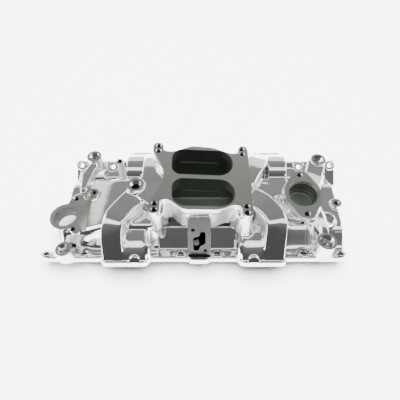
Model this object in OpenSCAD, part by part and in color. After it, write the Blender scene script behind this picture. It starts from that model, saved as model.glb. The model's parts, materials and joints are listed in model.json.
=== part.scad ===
// Dual-plane four-barrel intake manifold for a small-block V8, a single aluminium casting.
// The nodes are the regions a pattern maker would name: flanges, plenum halves, runners, decks and bosses.
// Row frame: +X to the front of the engine, +Y to the driver's side, +Z up,
// origin on the base plane under the middle of the carburettor flange.

/* [Engine pattern] */
// Distance between neighbouring cylinder bores on one bank
bore_spacing = 111.76; // [110:0.01:113]
// How far the driver's bank stands ahead of the passenger's bank
bank_offset = 22.35; // [20:0.05:24]
// Slope of the cylinder-head flanges above the horizontal, in degrees
flange_angle = 35; // [34:0.5:36]

/* [Carburettor flange] */
// Height of the middle of the carburettor flange above the base
carb_height = 115; // [113:0.5:118]
// Rearward rise of the carburettor flange, in degrees
carb_tilt = 3.4; // [3:0.1:3.8]
// Thickness of the carburettor flange
carb_plate = 12; // [11:0.5:13]
// Stud spacing along the engine, shared by both stud patterns
stud_length = 142.9; // [142.9:0.1:142.9]
// Stud spacing across the engine for the square-bore pattern
stud_wide = 131; // [131:0.1:131]
// Stud spacing across the engine for the spread-bore pattern
stud_narrow = 108; // [108:0.1:108]
// Drilled radius of the stud holes
stud_r = 3.3; // [3.2:0.05:3.5]

/* [Head flanges] */
// Thickness of the head flanges
flange_t = 9.5; // [9:0.25:10]
// Half the length of each head flange
flange_half = 253; // [252:0.5:254]
// Height of the flange along its slope
flange_h = 50; // [49:0.5:51]
// Height of the flange at each pair of ports
port_pad_h = 66; // [65:0.5:67]
// Half the distance between the inner lower edges of the two flanges
valley_half = 69.2; // [69:0.1:70]
// Clear width of an intake port
port_w = 30; // [29:0.5:30]
// Clear height of an intake port
port_h = 50; // [49:0.5:50]
// Radius of the clearance holes for the head bolts
bolt_r = 5.2; // [5:0.1:5.5]

/* [Coolant and ignition] */
// Height of the thermostat face above the base
thermostat_z = 70; // [69:0.5:72]
// Radius of the thermostat opening
thermostat_r = 24.5; // [24:0.25:25]
// Spacing of the two water-neck bolts
neck_bolts = 83; // [82:0.5:84]
// Height of the distributor seat above the base
distributor_z = 52; // [51:0.5:53]
// Radius of the distributor bore
distributor_r = 18.5; // [18:0.25:19]

/* [Hidden] */

slope_y = cos(flange_angle);
slope_z = sin(flange_angle);
pair_x = bore_spacing;                      // middle of each pair of ports, from the middle of the head
pad_half = 38;                              // half the length of the raised pad round a pair of ports
pad_x0 = pair_x - pad_half;
pad_x1 = pair_x + pad_half;
heat_x = 8.35;                              // heat port of the passenger's bank, from the middle of the head
port_pitch = port_w + 5;                    // two ports of a pair, centre to centre
port_mid = 34;                              // middle of a port, up the slope
shell = 3;                                  // wall of a runner
upper_z = 80;                               // centreline height of the upper runners
lower_z = 40;                               // centreline height of the lower runners
deck_top = 46;                              // top of the front and rear decks
deck_t = 5;                                 // thickness of the decks
upper_floor = 60;                           // underside of the upper plenum
upper_roof = 97;                            // top of the upper plenum beside the flange
lower_floor = 23;                           // underside of the lower plenum
plenum_x0 = -62;                            // rear face of the plenum box
plenum_x1 = 62;                             // front face of the plenum box
divider_y0 = -3;                            // passenger's face of the divider
divider_y1 = 5;                             // driver's face of the divider
divider_mid = (divider_y0 + divider_y1) / 2;
wall = 4;                                   // wall of the plenum
small_tap_r = 3.3;                          // drilled radius of the bracket holes
rail_x = 228;                               // inner face of the end rails
rail_t = 13;                                // thickness of the end rails
// Head bolts of the driver's bank: along the bank, up the slope. The passenger's bank is turned end for end.
head_bolts = [[-243, 41], [-182, 38], [-38.3, 38], [21.6, 38], [182, 38], [243, 41]];
water_x = 211;                              // water passages, from the middle of the head
fork_y1 = 42;                               // driver's face of the lower forks

// ---------- curves and sections ----------
function unit(v) = v / norm(v);
function turn(a) = a > 180 ? a - 360 : (a < -180 ? a + 360 : a);

// Points of the arc that rounds corner b of a path a, b, c with radius b[2].
function corner(a, b, c, n) =
    let(
        p = [b[0], b[1]],
        u = unit([a[0], a[1]] - p),
        v = unit([c[0], c[1]] - p),
        half = acos(u * v) / 2,
        centre = p + unit(u + v) * (b[2] / sin(half)),
        start = p + u * (b[2] / tan(half)) - centre,
        stop = p + v * (b[2] / tan(half)) - centre,
        a0 = atan2(start[1], start[0]),
        da = turn(atan2(stop[1], stop[0]) - a0)
    )
    [for (i = [0:n]) centre + b[2] * [cos(a0 + da * i / n), sin(a0 + da * i / n)]];

// A closed outline whose corners [x, y, radius] are rounded.
function rounded(pts, n = 5) =
    let(m = len(pts))
    [for (i = [0:m - 1]) each corner(pts[(i + m - 1) % m], pts[i], pts[(i + 1) % m], n)];

function box_outline(x0, x1, y0, y1, r) =
    [[x0, y0, r], [x1, y0, r], [x1, y1, r], [x0, y1, r]];

function bezier(p, t) =
    p[0] * pow(1 - t, 3) + p[1] * 3 * t * pow(1 - t, 2) + p[2] * 3 * t * t * (1 - t) + p[3] * pow(t, 3);
function bezier_way(p, t) =
    unit((p[1] - p[0]) * pow(1 - t, 2) + (p[2] - p[1]) * 2 * t * (1 - t) + (p[3] - p[2]) * t * t);
function mix(a, b, t) = a * (1 - t) + b * t;

// A ring of a duct: a rounded rectangle of half sizes w, h about c, square to way.
function duct_ring(c, way, w, h, r) =
    let(
        side = unit(cross([0, 0, 1], way)),
        tall = cross(way, side),
        flat = rounded(box_outline(-w, w, -h, h, r), 3)
    )
    [for (q = flat) c + side * q[0] + tall * q[1]];

// The rings of a duct along the curve p, from half size a to half size b, grown by extra.
function duct_rings(p, a, b, extra, steps) =
    [for (i = [0:steps])
        let(t = i / steps, s = mix(a, b, t))
        each duct_ring(bezier(p, t), bezier_way(p, t), s[0] + extra, s[1] + extra, 6 + extra)];

// A tube with open ends, or a plug of its outer shape.
module duct(p, a, b, wall_t, hollow = true) {
    steps = 10;
    m = 16;
    k = (steps + 1) * m;
    outer = duct_rings(p, a, b, wall_t, steps);
    inner = duct_rings(p, a, b, 0, steps);
    skin = [for (i = [0:steps - 1], j = [0:m - 1])
        let(a = i * m + j, b = i * m + (j + 1) % m)
        each [[a, a + m, b + m], [a, b + m, b]]];
    lining = [for (f = skin) [f[2] + k, f[1] + k, f[0] + k]];
    rims = [for (j = [0:m - 1])
        let(a = j, b = (j + 1) % m, c = steps * m)
        each [[a, b, b + k], [a, b + k, a + k], [c + b, c + a, c + a + k], [c + b, c + a + k, c + b + k]]];
    ends = [[for (j = [0:m - 1]) j], [for (j = [m - 1:-1:0]) steps * m + j]];
    if (hollow) polyhedron(concat(outer, inner), concat(skin, lining, rims), convexity = 8);
    else polyhedron(outer, concat(skin, ends), convexity = 6);
}

// ---------- frames of the faces ----------
// Children are drawn on the head flange of one side: x along the bank, y up the slope, z off the gasket face.
module on_flange(side) {
    translate([side * bank_offset / 2, 0, 0])
        mirror([0, side > 0 ? 0 : 1, 0])
            translate([0, valley_half, 0]) rotate([flange_angle, 0, 0]) children();
}

function flange_point(side, x, s, up) =
    [x + side * bank_offset / 2,
     side * (valley_half + s * slope_y - up * slope_z),
     s * slope_z + up * slope_y];

module on_carb() {
    translate([0, 0, carb_height]) rotate([0, carb_tilt, 0]) children();
}

module ring_boss(x, y, z0, z1, r0, r1, hole_r, hole_z) {
    translate([x, y, 0]) difference() {
        translate([0, 0, z0]) cylinder(h = z1 - z0, r1 = r0, r2 = r1, $fn = 48);
        translate([0, 0, hole_z]) cylinder(h = z1 - hole_z + 1, r = hole_r, $fn = 48);
    }
}

// ---------- carburettor flange ----------
carb_outline = [
    [81.5, -73, 8], [81.5, 73, 8], [65, 73, 7.9], [65, 54, 5], [50, 55, 10], [22, 66, 30], [-14, 69, 30],
    [-46, 54, 12], [-63.5, 54, 5], [-63.5, 73, 7.9], [-81, 73, 8], [-81, 54, 8],
    [-61, 12, 30], [-61, -14, 30], [-81, -54, 8], [-81, -73, 8], [-63.5, -73, 7.9], [-63.5, -47, 5],
    [-50, -46, 6], [-28, -64, 20],
    [28, -63, 30], [50, -53, 8], [64, -54, 5], [64, -73, 7.9]];
far_barrels = [[-48, 5, 16], [54, 5, 26], [54, 59, 26], [-48, 60, 20]];
near_barrels = [[-46, -57, 22], [54, -56, 25], [54, -3, 25], [-46, -3, 18]];

stud_boss_r = 8.6;
stud_boss_h = 22;
module studs(r, depth, top = 1) {
    for (x = [-1, 1], y = [-stud_wide, -stud_narrow, stud_narrow, stud_wide])
        translate([x * stud_length / 2, y / 2, -depth]) cylinder(h = depth + top, r = r, $fn = 40);
}

ear_x = 62;                                 // where an ear leaves the plate, along the engine
ear_y = 46;                                 // and across it

module ear_corners(grow = 0) {
    for (x = [-1, 1], y = [-1, 1])
        translate([x > 0 ? ear_x - grow : -100, y > 0 ? ear_y - grow : -100, -60])
            cube([100 - ear_x + grow, 100 - ear_y + grow, 80]);
}

module carb_plate_half(side, barrels) {
    color("lightslategray") on_carb() difference() {
        translate([0, 0, -carb_plate]) linear_extrude(carb_plate) polygon(rounded(carb_outline));
        translate([-100, side > 0 ? divider_mid - 100 : divider_mid, -20]) cube([200, 100, 40]);
        translate([0, 0, -carb_plate - 1]) linear_extrude(carb_plate + 2) polygon(rounded(barrels));
        ear_corners();
    }
}

module carb_flange_driver() carb_plate_half(1, far_barrels);
module carb_flange_passenger() carb_plate_half(-1, near_barrels);

// The four ears, each with two tapped stud holes.
module carb_stud_ears() {
    color("lightslategray") on_carb() difference() {
        intersection() {
            union() {
                translate([0, 0, -carb_plate]) linear_extrude(carb_plate) polygon(rounded(carb_outline));
                studs(stud_boss_r, stud_boss_h, -1);
            }
            union() {
                ear_corners();
                translate([0, 0, -60]) studs(stud_boss_r + 0.1, 0, 60 - carb_plate);
            }
        }
        studs(stud_r, 18);
    }
}

// Tapered columns that carry the stud bosses down to the runners.
module carb_ear_columns() {
    color("silver") for (e = [[-1, -1, 40], [1, -1, 60], [-1, 1, 97.5], [1, 1, 97.5]])
        intersection() {
            hull() {
                for (y = [stud_wide, stud_narrow])
                    translate([e[0] * stud_length / 2, e[1] * y / 2, carb_height - e[0] * 4.3 - 30])
                        cylinder(h = 7, r = 8.4, $fn = 24);
                translate([e[0] * 68, e[1] * 58, e[2]]) cylinder(h = 2, r = 5, $fn = 24);
            }
            on_carb() translate([-100, -100, -122]) cube([200, 200, 100]);
        }
}

// ---------- plenum ----------
upper_plan = [[-111.5, -8.1], [-88.5, -35.9], [-66, -58], [-60, -62], [60, -62], [78.1, -39.5],
    [105.9, -16.5], [101.5, divider_y1], [-99.5, divider_y1]];
upper_room = [[-112, 0], [-107, -11], [-88, -33], [-64, -54], [-56, -58], [56, -58], [76, -36],
    [104, -20], [110, 0]];

module under_carb() {
    on_carb() translate([-150, -150, -carb_plate - 200]) cube([300, 300, 200]);
}

// The chamber below the passenger's pair of barrels, which feeds runners 2, 3, 5 and 8.
module plenum_upper() {
    color("gainsboro") difference() {
        intersection() {
            union() {
                translate([0, 0, upper_floor]) linear_extrude(upper_roof - upper_floor) polygon(upper_plan);
                translate([plenum_x0, -62, upper_roof - 1]) cube([plenum_x1 - plenum_x0, 62, 14]);
            }
            under_carb();
        }
        intersection() {
            translate([0, 0, upper_floor + wall])
                linear_extrude(upper_roof - upper_floor - 2 * wall) polygon(upper_room);
            union() {
                translate([-120, -70, 0]) cube([240, 70 + divider_y0, 200]);
                for (x = [-98, 66]) translate([x, -30, 0]) cube([32.5, 50, 200]);
            }
        }
        translate([0, 0, upper_floor + wall]) linear_extrude(60) polygon(rounded(near_barrels));
        on_carb() studs(stud_boss_r, stud_boss_h);
        translate([plenum_x0 - 0.5, divider_y0, 0]) cube([plenum_x1 - plenum_x0 + 1, 20, 200]);
    }
}

// The chamber below the driver's pair of barrels, which feeds runners 1, 4, 6 and 7.
module plenum_lower() {
    color("gainsboro") difference() {
        intersection() {
            translate([plenum_x0, divider_y1, lower_floor])
                linear_extrude(90) polygon([[0, 0], [plenum_x1 - plenum_x0, 0], [plenum_x1 - plenum_x0, 48],
                    [102, 63], [22, 63], [0, 48]]);
            under_carb();
        }
        translate([0, 0, lower_floor + wall]) linear_extrude(90) polygon(rounded([
            [-58, divider_y1 - 1, 1], [58, divider_y1 - 1, 1], [58, 50, 20],
            [36, 62, 20], [-30, 62, 20], [-58, 50, 20]]));
        on_carb() studs(stud_boss_r, stud_boss_h);
        for (x = [plenum_x0 - 1, plenum_x1 - 6]) translate([x, divider_y1 + wall, lower_floor + wall])
            cube([8, fork_y1 - divider_y1 - 2 * wall, 26]);
    }
}

module plenum_divider() {
    color("gainsboro") intersection() {
        translate([plenum_x0, divider_y0, lower_floor])
            cube([plenum_x1 - plenum_x0, divider_y1 - divider_y0, 90]);
        under_carb();
    }
}

// A lower passage beside the plenum, open to it and to one runner on each side.
module lower_fork(x0, x1, plenum_side, driver_x, passenger_x) {
    z0 = lower_floor;
    h = 34;
    half = port_w / 2 + 1;
    color("silver") difference() {
        translate([x0, divider_y1, z0]) cube([x1 - x0, fork_y1 - divider_y1, h]);
        translate([x0 + (plenum_side > 0 ? wall : -1), divider_y1 + wall, z0 + wall])
            cube([x1 - x0 - wall + 1, fork_y1 - divider_y1 - 2 * wall, h - 2 * wall]);
        translate([driver_x - half, fork_y1 - wall - 1, z0 + wall]) cube([2 * half, wall + 2, h - 2 * wall]);
        translate([passenger_x - half, divider_y1 - 1, z0 + wall]) cube([2 * half, wall + 2, h - 2 * wall]);
    }
}

module lower_fork_rear() lower_fork(-136, plenum_x0, 1, port_x(7), port_x(6));
module lower_fork_front() lower_fork(plenum_x1, 158, -1, port_x(1), port_x(4));

// ---------- runners ----------
// Runners 1, 3, 5 and 7 belong to the driver's bank, and 2, 4, 6 and 8 to the passenger's.
function runner_side(n) = n % 2 == 1 ? 1 : -1;
function port_x(n) =
    let(pair = n <= 4 ? 1 : -1, outer = (n == 1 || n == 2 || n == 7 || n == 8) ? 1 : -1)
    runner_side(n) * bank_offset / 2 + pair * (pair_x + outer * port_pitch / 2);

// Where each runner meets the plenum or fork: [point, way in, reach at the port, reach at the plenum].
runner_ends = [
    [],
    [[port_x(1), fork_y1, lower_z], [0, -1, 0], 42, 24],
    [[92, -28, upper_z], unit([-0.64, 0.77, 0]), 50, 34],
    [[84, divider_y1, upper_z], [0, -1, 0], 56, 44],
    [[port_x(4), divider_y1, lower_z], [0, 1, 0], 26, 48],
    [[-82, divider_y1, upper_z], [0, -1, 0], 56, 44],
    [[port_x(6), divider_y1, lower_z], [0, 1, 0], 26, 48],
    [[port_x(7), fork_y1, lower_z], [0, -1, 0], 42, 24],
    [[-100, -22, upper_z], unit([0.77, 0.64, 0]), 50, 40]];

function runner_curve(n) =
    let(
        e = runner_ends[n],
        side = runner_side(n),
        p = flange_point(side, port_x(n) - side * bank_offset / 2, port_mid, flange_t),
        up = [0, -side * slope_z, slope_y]
    )
    [p, p + up * e[2], e[0] - e[1] * e[3], e[0]];

module runner(n) {
    duct(runner_curve(n), [port_w / 2 - 0.4, port_h / 2], [port_w / 2 - 0.4, 13.4], shell - 0.2);
}

// ---------- head flanges ----------
function flange_outline(h) = [
    [-flange_half, 0, 6], [flange_half, 0, 6], [flange_half, flange_h, 9],
    [pad_x1, flange_h, 5], [pad_x1, port_pad_h, 9], [pad_x0, port_pad_h, 9], [pad_x0, flange_h, 5],
    [h + 18, flange_h, 5], [h + 14, 57, 5], [h - 14, 57, 5], [h - 18, flange_h, 5],
    [-pad_x0, flange_h, 5], [-pad_x0, port_pad_h, 9], [-pad_x1, port_pad_h, 9], [-pad_x1, flange_h, 5],
    [-flange_half, flange_h, 9]];

module port_holes() {
    for (pair = [-1, 1], k = [-1, 1])
        translate([pair * pair_x + k * port_pitch / 2, port_mid, -1]) linear_extrude(flange_t + 2)
            polygon(rounded(box_outline(-port_w / 2, port_w / 2, -port_h / 2, port_h / 2, 6)));
}

// The stretch of a head flange between two places along its bank.
module flange_stretch(side, x0, x1) {
    color("silver") on_flange(side) intersection() {
        difference() {
            linear_extrude(flange_t) polygon(rounded(flange_outline(-side * heat_x)));
            port_holes();
            translate([-side * heat_x, 24, -1]) linear_extrude(flange_t + 2)
                polygon(rounded(box_outline(-15, 15, -9, 9, 5)));
            for (x = [-water_x, water_x]) translate([x, 22, -1]) linear_extrude(flange_t + 2)
                polygon(rounded(box_outline(-13, 13, -9, 9, 6)));
            for (b = head_bolts) translate([side * b[0], b[1], -1])
                cylinder(h = flange_t + 2, r = bolt_r, $fn = 40);
        }
        translate([x0, -10, -5]) cube([x1 - x0, 100, 30]);
    }
}

module port_frame(n) {
    x = port_x(n) - runner_side(n) * bank_offset / 2;
    pair = x > 0 ? pair_x : -pair_x;
    outer_half = x > pair;
    flange_stretch(runner_side(n), outer_half ? pair : pair - pad_half, outer_half ? pair + pad_half : pair);
}

module driver_flange_rear() flange_stretch(1, -flange_half, -pad_x1);
module driver_flange_centre() flange_stretch(1, -pad_x0, pad_x0);
module driver_flange_front() flange_stretch(1, pad_x1, water_x);
module driver_flange_tip() flange_stretch(1, water_x, flange_half);
module passenger_flange_rear() flange_stretch(-1, -flange_half, -pad_x1);
module passenger_flange_centre() flange_stretch(-1, -pad_x0, pad_x0);
module passenger_flange_front() flange_stretch(-1, pad_x1, water_x);
module passenger_flange_tip() flange_stretch(-1, water_x, flange_half);

// Raised spot-faces round the head bolts.
module flange_bolt_bosses() {
    color("gainsboro") for (side = [-1, 1]) on_flange(side) for (b = head_bolts)
        translate([side * b[0], b[1], flange_t]) difference() {
            cylinder(h = 2.5, r = 9, $fn = 40);
            translate([0, 0, -1]) cylinder(h = 5, r = bolt_r, $fn = 40);
        }
}

// ---------- decks, rails and floor ----------
deck_foot = 27;                             // where a deck meets the flange, up the slope
deck_section = [
    [-(valley_half + deck_foot * slope_y - flange_t * slope_z), deck_foot * slope_z + flange_t * slope_y],
    [-62, deck_top], [62, deck_top],
    [valley_half + deck_foot * slope_y - flange_t * slope_z, deck_foot * slope_z + flange_t * slope_y],
    [valley_half + 18 * slope_y - flange_t * slope_z, 18 * slope_z + flange_t * slope_y],
    [59, deck_top - deck_t], [-59, deck_top - deck_t],
    [-(valley_half + 18 * slope_y - flange_t * slope_z), 18 * slope_z + flange_t * slope_y]];

module along_x(x0, x1) {
    translate([x0, 0, 0]) rotate([90, 0, 90]) linear_extrude(x1 - x0) children();
}

module rear_deck() {
    color("silver") difference() {
        along_x(-rail_x - rail_t, -101.5) polygon(deck_section);
        translate([-136.3, divider_y1 - 0.3, 0]) cube([80, 100, 90]);
        translate([-123.3, -100, 0]) cube([60, 106, 90]);
        translate([-158.3, -100, 0]) cube([36, 46, 90]);
        translate([distributor_at[0], distributor_at[1], -1]) cylinder(h = 80, r = tower_r, $fn = 60);
    }
}

module front_deck() {
    color("silver") difference() {
        along_x(101.5, rail_x + rail_t) polygon(deck_section);
        translate([90, divider_y1 - 0.3, 0]) cube([68.3, 100, 90]);
        translate([90, -100, 0]) cube([46, 46, 90]);
        translate([177.5, 0, 0]) cylinder(h = 90, r = 33, $fn = 60);
        for (a = [1, -1]) coolant_arm(a, false);
    }
}

module end_rail(x0) {
    color("silver") along_x(x0, x0 + rail_t) polygon([
        [-valley_half, 0], [valley_half, 0],
        [valley_half - flange_t * slope_z, flange_t * slope_y],
        deck_section[4], [59, deck_top - deck_t], [-59, deck_top - deck_t], deck_section[7],
        [-valley_half + flange_t * slope_z, flange_t * slope_y]]);
}

module front_end_rail() end_rail(rail_x);
module rear_end_rail() {
    difference() {
        end_rail(-rail_x - rail_t);
        translate([distributor_at[0], distributor_at[1], -1]) cylinder(h = 80, r = tower_r, $fn = 60);
    }
}

module valley_floor() {
    edge = function (z) valley_half - flange_t * slope_z + (z - flange_t * slope_y) / slope_z * slope_y;
    color("silver") difference() {
        along_x(-87.7, 87.7)
            polygon([[-edge(17), 17], [edge(17), 17], [edge(22.5), 22.5], [-edge(22.5), 22.5]]);
        translate([65.3, -100, 0]) cube([40, 105, 40]);
        translate([-105.3, 5, 0]) cube([40, 100, 40]);
        linear_extrude(40) polygon(crossover_plan(19.3, 100));
    }
}

// ---------- exhaust heat crossover and choke stove ----------
// The plan of the crossover: it leans from one heat port to the other.
function crossover_plan(half, reach) =
    [for (c = [[-1, -1], [1, -1], [1, 1], [-1, 1]]) [c[0] * half + c[1] * reach * 3 / 64, c[1] * reach]];

module heat_crossover() {
    color("silver") difference() {
        translate([0, 0, 2.4]) linear_extrude(20) polygon(crossover_plan(19, 64));
        translate([0, 0, 6]) linear_extrude(13) polygon(crossover_plan(15, 65));
        for (side = [-1, 1]) on_flange(side) translate([-60, -20, -30]) cube([120, 100, 30 + flange_t]);
    }
}

choke_face_way = [0, -0.878, 0.478];        // outward normal of the choke face
choke_face_mid = [-2.5, -87, 63];
choke_tilt = acos(choke_face_way[2]);
choke_holes = [[-10, 18], [10, -21]];       // tapped holes: across the face, up the face
choke_window = [[-9, -20, 3], [-1, -20, 3], [2, -12, 3], [10, -7, 3],
    [10, 15, 4], [2, 15, 3], [0, 7, 3], [-10, 4, 4]];

module on_choke() {
    translate(choke_face_mid) rotate([choke_tilt, 0, 0]) children();
}

module choke_stove_pad() {
    color("darkgray") difference() {
        intersection() {
            on_choke() {
                translate([-17.5, -36.5, -70]) cube([35, 77, 68]);
                translate([-17.5, -28.5, -70]) cube([35, 69, 70]);
            }
            translate([-40, -112, 20]) cube([80, 49.5, 82]);
        }
        on_flange(-1) translate([-60, -20, -30]) cube([120, 120, 30 + flange_t]);
        on_choke() translate([0, 0, -24]) linear_extrude(30) polygon(rounded(choke_window));
        for (h = choke_holes) on_choke() translate([h[0], h[1], -14]) cylinder(h = 20, r = 2.2, $fn = 32);
    }
}

// ---------- coolant crossover ----------
thermostat_x = 177.5;
lug_r = 8.5;                                // lugs of the water-neck bolts

module coolant_arm(side, hollow = true) {
    p = flange_point(side, water_x, 22, flange_t);
    up = [0, -side * slope_z, slope_y];
    way = unit([side > 0 ? 0.62 : 0.42, side * 0.86, 0]);
    q = [thermostat_x, 0, 54] + way * 33;
    duct([p, p + up * 26, q + way * 22, q], [13, 9], [14, 8.5], 4, hollow);
}

// An arm makes room for the lug of the nearer water-neck bolt.
module cleared_arm(side) {
    color("silver") difference() {
        coolant_arm(side);
        translate([thermostat_x, side * neck_bolts / 2, 20]) cylinder(h = 60, r = lug_r + 0.1, $fn = 40);
    }
}

module coolant_arm_driver() cleared_arm(1);
module coolant_arm_passenger() cleared_arm(-1);

module thermostat_housing() {
    color("silver") translate([thermostat_x, 0, 0]) difference() {
        translate([0, 0, deck_top - deck_t])
            cylinder(h = thermostat_z - 7 - deck_top + deck_t, r = 32.8, $fn = 72);
        translate([0, 0, deck_top - 1]) cylinder(h = 60, r = thermostat_r - 1.5, $fn = 72);
        for (side = [-1, 1])
            rotate([0, 0, side > 0 ? atan2(0.86, 0.62) : atan2(-0.86, 0.42)])
                translate([10, -13, deck_top]) cube([40, 26, 16.5]);
    }
}

module thermostat_flange() {
    color("darkgray") translate([thermostat_x, 0, thermostat_z - 7]) difference() {
        union() {
            cylinder(h = 7, r = 33, $fn = 72);
            linear_extrude(7) polygon(rounded([[-31, -12, 2], [-10, -49, 9], [10, -49, 9], [31, -12, 2],
                [31, 12, 2], [10, 49, 9], [-10, 49, 9], [-31, 12, 2]]));
            for (y = [-1, 1]) translate([0, y * neck_bolts / 2, -8]) cylinder(h = 15, r = lug_r, $fn = 40);
        }
        translate([0, 0, -1]) cylinder(h = 9, r = thermostat_r, $fn = 72);
        for (y = [-1, 1]) translate([0, y * neck_bolts / 2, -6]) cylinder(h = 16, r = 4, $fn = 32);
    }
}

// ---------- distributor seat ----------
distributor_at = [-231, -35];
tower_r = 25.8;
distributor_seat = 26;                      // length of the distributor bore
tower_skirt = 3.3;                          // wall of the tower below the bore
clamp_holes = [[-219, 2], [-214, -60]];
distributor_pad = [[-222, -58, 6], [-206, -72, 6], [-198, -60, 8], [-200, -6, 8],
    [-214, 14, 6], [-228, 2, 8], [-236, -30, 4]];

module distributor_tower() {
    color("darkgray") difference() {
        union() {
            translate([distributor_at[0], distributor_at[1], 0])
                cylinder(h = distributor_z, r = tower_r, $fn = 60);
            translate([0, 0, deck_top]) linear_extrude(distributor_z - deck_top)
                polygon(rounded(distributor_pad));
        }
        translate([distributor_at[0], distributor_at[1], -1]) cylinder(h = 60, r = distributor_r, $fn = 60);
        translate([distributor_at[0], distributor_at[1], -1])
            cylinder(h = distributor_z - distributor_seat + 1, r = tower_r - tower_skirt, $fn = 60);
        for (h = clamp_holes) translate([h[0], h[1], deck_top - 3])
            cylinder(h = 20, r = small_tap_r, $fn = 32);
    }
}

// ---------- bosses ----------
module vacuum_port_boss() color("silver") ring_boss(-107, -6, upper_roof, 103, 14.5, 12.5, 8, upper_roof - 1);

module water_boss(side, x, y, z0, z1, depth) {
    color("silver") difference() {
        translate([x, y, z0]) cylinder(h = z1 - z0, r1 = 17, r2 = 13.5, $fn = 48);
        translate([x, y, z1 - depth]) cylinder(h = 30, r = 8, $fn = 48);
        on_flange(side) translate([-300, -40, -30]) cube([600, 140, 30 + flange_t]);
    }
}

module rear_driver_water_boss() water_boss(1, -200, 93, 22, 62, 22);
module rear_passenger_water_boss() water_boss(-1, -221, -97, 22, 52, 14);
module temperature_sender_boss() {
    color("silver") difference() {
        translate([221, 84, 30]) cylinder(h = 34, r1 = 16, r2 = 13.5, $fn = 48);
        translate([221, 84, 52]) cylinder(h = 30, r = 8, $fn = 48);
        on_flange(1) translate([-300, -40, -30]) cube([600, 140, 30 + flange_t]);
        coolant_arm(1, false);
    }
}
module heater_outlet_boss() {
    color("silver") difference() {
        translate([202, -90, 35]) cylinder(h = 30, r1 = 17, r2 = 15.5, $fn = 48);
        translate([202, -90, 43]) cylinder(h = 40, r = 10, $fn = 48);
        on_flange(-1) translate([-300, -40, -30]) cube([600, 140, 30 + flange_t]);
        coolant_arm(-1, false);
    }
}
module bypass_blank_boss() {
    color("silver") translate([217, -39, deck_top]) cylinder(h = 7, r1 = 15, r2 = 12.5, $fn = 48);
}
module throttle_bracket_post() color("silver") ring_boss(-146, 66, 30, 79, 9, 6.5, small_tap_r, 62);
module coil_bracket_boss() color("silver") ring_boss(-187, 8, deck_top, 62, 11, 7.5, small_tap_r, 49);
module front_bracket_boss() {
    color("silver") ring_boss(238, -8, deck_top, 54, 10, 8, small_tap_r, deck_top + 0.5);
}

// A rib that ties the rear water boss to the distributor seat.
module rear_rib() {
    color("silver") translate([0, 0, deck_top]) linear_extrude(10) polygon(rounded([
        [-214, 22, 3], [-204, 22, 3], [-200, 60, 3], [-196, 74, 3], [-208, 74, 3], [-216, 60, 3]]));
}

carb_flange_driver();
carb_flange_passenger();
carb_stud_ears();
carb_ear_columns();
plenum_upper();
plenum_lower();
plenum_divider();
lower_fork_rear();
lower_fork_front();
for (n = [1:8]) color("gainsboro") runner(n);
for (n = [1:8]) port_frame(n);
driver_flange_rear();
driver_flange_centre();
driver_flange_front();
driver_flange_tip();
passenger_flange_rear();
passenger_flange_centre();
passenger_flange_front();
passenger_flange_tip();
flange_bolt_bosses();
front_end_rail();
rear_end_rail();
rear_deck();
front_deck();
valley_floor();
heat_crossover();
choke_stove_pad();
thermostat_flange();
thermostat_housing();
coolant_arm_driver();
coolant_arm_passenger();
distributor_tower();
vacuum_port_boss();
rear_driver_water_boss();
rear_passenger_water_boss();
temperature_sender_boss();
heater_outlet_boss();
bypass_blank_boss();
throttle_bracket_post();
coil_bracket_boss();
front_bracket_boss();
rear_rib();
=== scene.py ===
# %% [markdown]
# # A polished dual-plane intake manifold
# The real object is one aluminium casting. A foundry makes it from a pattern, then a mill cuts the
# faces that seal and a drill makes the holes. This lesson works in the same order: pattern shapes are
# fused into one rounded skin, sand cores hollow it, cutters mill and drill it, and at the end it is
# divided into the named regions of the CAD model, which all ride on its one body.

# %% The frame
import json
from math import atan2, cos, pi, radians, sin

import bmesh
import bpy
from mathutils import Matrix, Vector


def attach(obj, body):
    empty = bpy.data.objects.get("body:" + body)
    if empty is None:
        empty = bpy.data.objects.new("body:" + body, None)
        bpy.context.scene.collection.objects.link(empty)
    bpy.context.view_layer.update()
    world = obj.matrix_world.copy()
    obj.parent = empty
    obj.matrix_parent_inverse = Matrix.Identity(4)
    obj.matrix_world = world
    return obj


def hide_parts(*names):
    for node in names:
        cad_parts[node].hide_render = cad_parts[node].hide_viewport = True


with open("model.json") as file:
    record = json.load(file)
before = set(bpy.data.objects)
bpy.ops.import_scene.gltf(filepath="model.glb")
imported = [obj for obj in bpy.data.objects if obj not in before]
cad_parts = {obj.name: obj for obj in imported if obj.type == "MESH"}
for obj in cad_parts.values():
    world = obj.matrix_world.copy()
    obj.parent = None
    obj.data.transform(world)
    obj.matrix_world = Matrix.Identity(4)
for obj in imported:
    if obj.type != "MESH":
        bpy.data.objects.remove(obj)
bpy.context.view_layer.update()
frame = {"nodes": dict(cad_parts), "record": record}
scene = bpy.context.scene
mounts = {m["name"]: m for m in frame["record"]["mounts"]}
print("loaded", len(frame["nodes"]), "nodes and", len(mounts), "mounts")

# %% [markdown]
# ## Sizes
# The drawing is in millimetres, so every pattern is drawn in millimetres and becomes metres once, when
# its mesh is made. The bore spacing, the bank offset and the 35 degree flanges set where everything
# else goes.

# %% Driving sizes
MM = 0.001
BORE_SPACING = 111.76
BANK_OFFSET = 22.35
FLANGE_ANGLE = radians(35)
VALLEY_HALF = 69.2
FLANGE_T = 9.5
PORT_W = 30.0
PORT_H = 50.0
PORT_PITCH = 35.0
PORT_MID = 34.0
CARB_HEIGHT = 115.0
CARB_TILT = radians(3.4)
DECK_TOP = 50.0
MILL_ALLOWANCE = 3.0
VOXEL = 1.25
SMOOTHING = 24

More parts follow.
